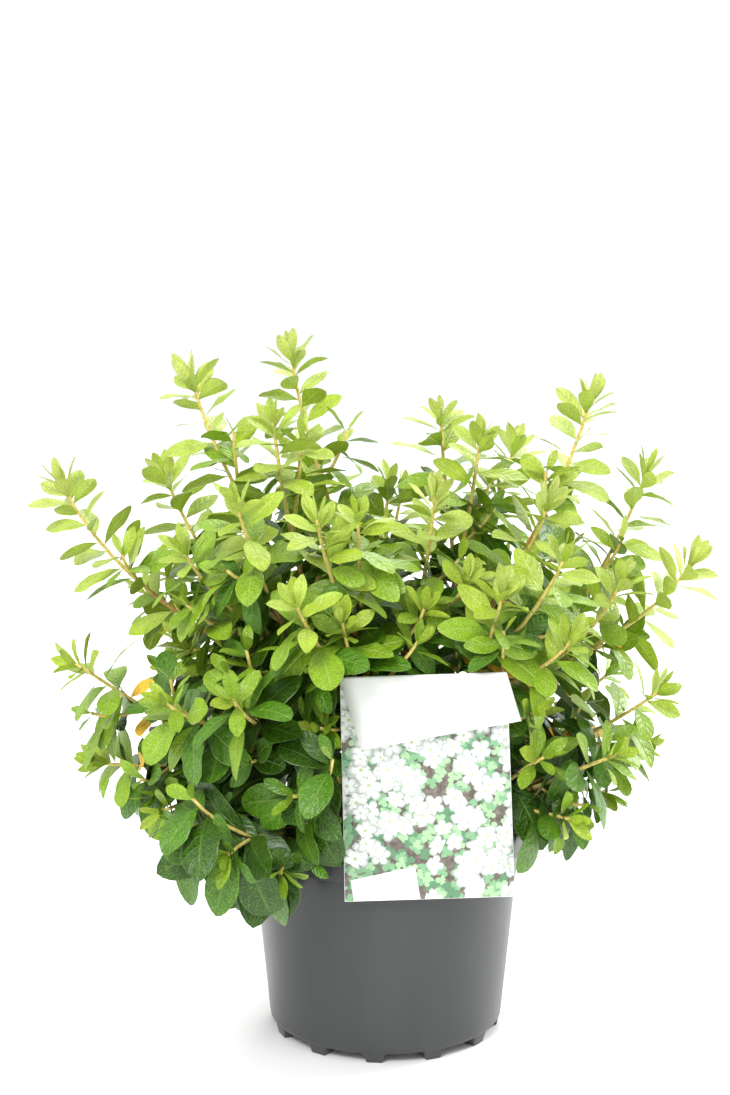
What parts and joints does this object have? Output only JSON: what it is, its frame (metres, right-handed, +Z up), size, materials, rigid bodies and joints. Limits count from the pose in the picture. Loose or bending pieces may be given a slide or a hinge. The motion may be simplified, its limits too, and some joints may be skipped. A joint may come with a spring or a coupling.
{
  "type": "potted azalea shrub",
  "caption": "Evergreen azalea shrub with upright leafy shoots in a round dark grey nursery pot, with a plain picture label leaning on its lip.",
  "frame": {"origin": "on the ground under the middle of the plant's box, which is also the pot's axis to within a few millimetres", "axes": "+Z up along the pot's axis, -Y to the front where the label hangs, +X to the right"},
  "size_m": [0.4806, 0.371, 0.4715],
  "materials": {
    "pot_plastic": "moulded, fine satin",
    "peat": "damp crumbs",
    "bark": "thin flaking bark",
    "foliage": "matte, finely hairy leaves",
    "label_card": "coated card"
  },
  "bodies": {
    "root": {"pot": "pot_plastic", "soil": "peat", "trunk": "bark", "bough_left_cascade": "bark", "bough_front_low": "bark", "bough_right_low": "bark", "bough_right_side": "bark", "bough_back_right_low": "bark", "bough_back_low": "bark", "bough_back_left_low": "bark", "bough_left_low": "bark", "bough_left_far": "bark", "bough_front_left": "bark", "bough_front_left_high": "bark", "bough_front_middle": "bark", "bough_front_top": "bark", "bough_front_right": "bark", "bough_right_far": "bark", "bough_right_top": "bark", "bough_top_front": "bark", "bough_top_back_right": "bark", "bough_top_back": "bark", "bough_top_left": "bark", "bough_left_upper": "bark", "bough_back_middle": "bark", "bough_back_right": "bark", "foliage_left_cascade": "foliage", "foliage_front_low": "foliage", "foliage_right_low": "foliage", "foliage_right_side": "foliage", "foliage_back_right_low": "foliage", "foliage_back_low": "foliage", "foliage_back_left_low": "foliage", "foliage_left_low": "foliage", "foliage_left_far": "foliage", "foliage_front_left": "foliage", "foliage_front_left_high": "foliage", "foliage_front_middle": "foliage", "foliage_front_top": "foliage", "foliage_front_right": "foliage", "foliage_right_far": "foliage", "foliage_right_top": "foliage", "foliage_top_front": "foliage", "foliage_top_back_right": "foliage", "foliage_top_back": "foliage", "foliage_top_left": "foliage", "foliage_left_upper": "foliage", "foliage_back_middle": "foliage", "foliage_back_right": "foliage", "label_card": "label_card", "label_flap": "label_card", "label_stake": "label_card"}
  },
  "joints": []
}
